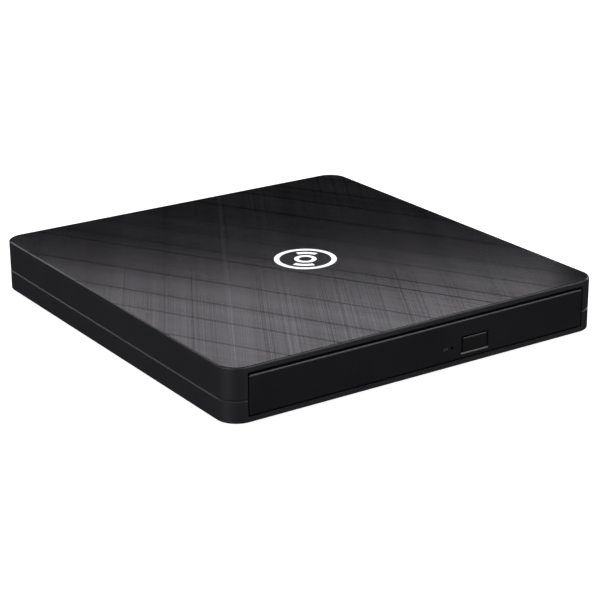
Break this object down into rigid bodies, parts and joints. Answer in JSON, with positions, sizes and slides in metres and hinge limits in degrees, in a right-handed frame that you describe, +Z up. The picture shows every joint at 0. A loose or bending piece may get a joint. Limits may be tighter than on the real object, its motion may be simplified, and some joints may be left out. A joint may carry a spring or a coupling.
{
  "type": "external optical drive",
  "caption": "Flat external disc drive: dark shell case round a slim drive with a sliding tray, eject button, disc hub, pickup and rear socket",
  "frame": {"origin": "middle of the footprint, on the surface the feet stand on", "axes": "+Z up; the tray slides out towards -Y; +X to the right as seen from the front"},
  "size_m": [0.142, 0.1503, 0.0184],
  "materials": {
    "case_plastic": "fine satin texture, printed hairlines on the top",
    "bezel_plastic": "smooth satin",
    "tray_plastic": "fine matt texture",
    "button_plastic": "smooth satin",
    "foot_rubber": "matt",
    "damper_rubber": "matt",
    "ring_rubber": "matt",
    "screw_steel": "black zinc",
    "bright_steel": "plated sheet",
    "rail_steel": "ground",
    "rod_steel": "polished",
    "brass": "turned",
    "board": "solder mask",
    "chip": "moulded resin",
    "connector": "moulded",
    "connector_pale": "moulded",
    "film": "polyimide film",
    "guide_plastic": "acetal",
    "dark_plastic": "glass filled",
    "zinc": "die cast",
    "copper": "enamelled wire",
    "magnet": "sintered",
    "lens": "coated",
    "led": "frosted"
  },
  "bodies": {
    "case": {"top_cover": "case_plastic", "bottom_cover": "case_plastic", "foot_front_left": "foot_rubber", "foot_front_right": "foot_rubber", "foot_rear_left": "foot_rubber", "foot_rear_right": "foot_rubber", "case_screws": "screw_steel", "bridge_board": "board", "bridge_parts": "chip", "bridge_screws": "screw_steel", "usb_port": "bright_steel", "sata_receptacle": "connector", "drive_pan": "bright_steel", "drive_lid": "bright_steel", "lid_screws": "screw_steel", "guide_right": "guide_plastic", "guide_left": "guide_plastic", "latch_pin": "rod_steel", "interface_board": "board", "sata_plug": "connector", "flex_cable": "film"},
    "right_rail": {"rail_right": "rail_steel"},
    "left_rail": {"rail_left": "rail_steel"},
    "tray_assembly": {"tray": "tray_plastic", "tray_rim": "tray_plastic", "tray_bezel": "bezel_plastic", "led_lens": "led", "front_board": "board", "front_board_parts": "connector_pale", "front_flex": "film", "tray_board": "board", "tray_board_parts": "chip", "traverse_frame": "bright_steel", "traverse_cover": "dark_plastic", "damper_bushes": "damper_rubber", "damper_screws": "screw_steel", "guide_rod_main": "rod_steel", "guide_rod_slave": "rod_steel", "sled_motor": "bright_steel", "spindle_base": "bright_steel", "spindle_bearing": "brass", "spindle_stator": "copper", "solenoid_coil": "bright_steel", "pusher_spring": "rod_steel"},
    "button": {"eject_button": "button_plastic"},
    "spindle": {"spindle_shaft": "rod_steel", "rotor_cup": "bright_steel", "rotor_magnet": "magnet", "turntable": "dark_plastic", "turntable_ring": "ring_rubber"},
    "claw_1": {"hub_claw_1": "dark_plastic"},
    "claw_2": {"hub_claw_2": "dark_plastic"},
    "claw_3": {"hub_claw_3": "dark_plastic"},
    "sled": {"pickup_carriage": "zinc"},
    "lens": {"lens_holder": "dark_plastic", "objective_lens": "lens"},
    "feed_screw": {"lead_screw": "rod_steel"},
    "latch": {"latch_lever": "guide_plastic"},
    "plunger": {"solenoid_plunger": "rod_steel"},
    "pusher": {"eject_pusher": "dark_plastic"}
  },
  "joints": [
    {"name": "tray_slide", "type": "slide", "parent": "case", "child": "tray_assembly", "axis": [0, -1, 0], "range_m": [0, 0.128], "deforming": ["flex_cable"]},
    {"name": "rail_right_slide", "type": "slide", "parent": "case", "child": "right_rail", "axis": [0, -1, 0], "range_m": [0, 0.064]},
    {"name": "rail_left_slide", "type": "slide", "parent": "case", "child": "left_rail", "axis": [0, -1, 0], "range_m": [0, 0.064]},
    {"name": "button_press", "type": "slide", "parent": "tray_assembly", "child": "button", "axis": [0, 1, 0], "range_m": [0, 0.0008], "stiffness_N_per_m": 1500},
    {"name": "spindle_spin", "type": "hinge", "parent": "tray_assembly", "child": "spindle", "pos_m": [0, -0.009, 0.011], "axis": [0, 0, 1], "continuous": true},
    {"name": "claw_1_slide", "type": "slide", "parent": "spindle", "child": "claw_1", "axis": [-0.866, -0.5, 0], "range_m": [0, 0.0006], "stiffness_N_per_m": 600},
    {"name": "claw_2_slide", "type": "slide", "parent": "spindle", "child": "claw_2", "axis": [0.866, -0.5, 0], "range_m": [0, 0.0006], "stiffness_N_per_m": 600},
    {"name": "claw_3_slide", "type": "slide", "parent": "spindle", "child": "claw_3", "axis": [0, 1, 0], "range_m": [0, 0.0006], "stiffness_N_per_m": 600},
    {"name": "sled_slide", "type": "slide", "parent": "tray_assembly", "child": "sled", "axis": [-0.7071, -0.7071, 0], "range_m": [0, 0.0345]},
    {"name": "lens_focus", "type": "slide", "parent": "sled", "child": "lens", "axis": [0, 0, 1], "range_m": [-0.0004, 0.0004], "stiffness_N_per_m": 300},
    {"name": "lead_screw_spin", "type": "hinge", "parent": "tray_assembly", "child": "feed_screw", "pos_m": [-0.00248, -0.04612, 0.0068], "axis": [-0.7071, -0.7071, 0], "continuous": true},
    {"name": "latch_swing", "type": "hinge", "parent": "tray_assembly", "child": "latch", "pos_m": [0.044, -0.05, 0.005], "axis": [0, 0, 1], "range_deg": [0, 12]},
    {"name": "plunger_slide", "type": "slide", "parent": "tray_assembly", "child": "plunger", "axis": [-1, 0, 0], "range_m": [0, 0.00126]},
    {"name": "pusher_slide", "type": "slide", "parent": "tray_assembly", "child": "pusher", "axis": [0, 1, 0], "range_m": [0, 0.012], "deforming": ["pusher_spring"]}
  ],
  "couplings": [
    {"joint": "rail_right_slide", "follows": "tray_slide", "ratio": 0.5},
    {"joint": "rail_left_slide", "follows": "tray_slide", "ratio": 0.5},
    {"joint": "pusher_slide", "follows": "tray_slide", "ratio": 0.09375},
    {"joint": "lead_screw_spin", "follows": "sled_slide", "rad_per_m": 2094.4},
    {"joint": "latch_swing", "follows": "plunger_slide", "rad_per_m": 166.67}
  ]
}
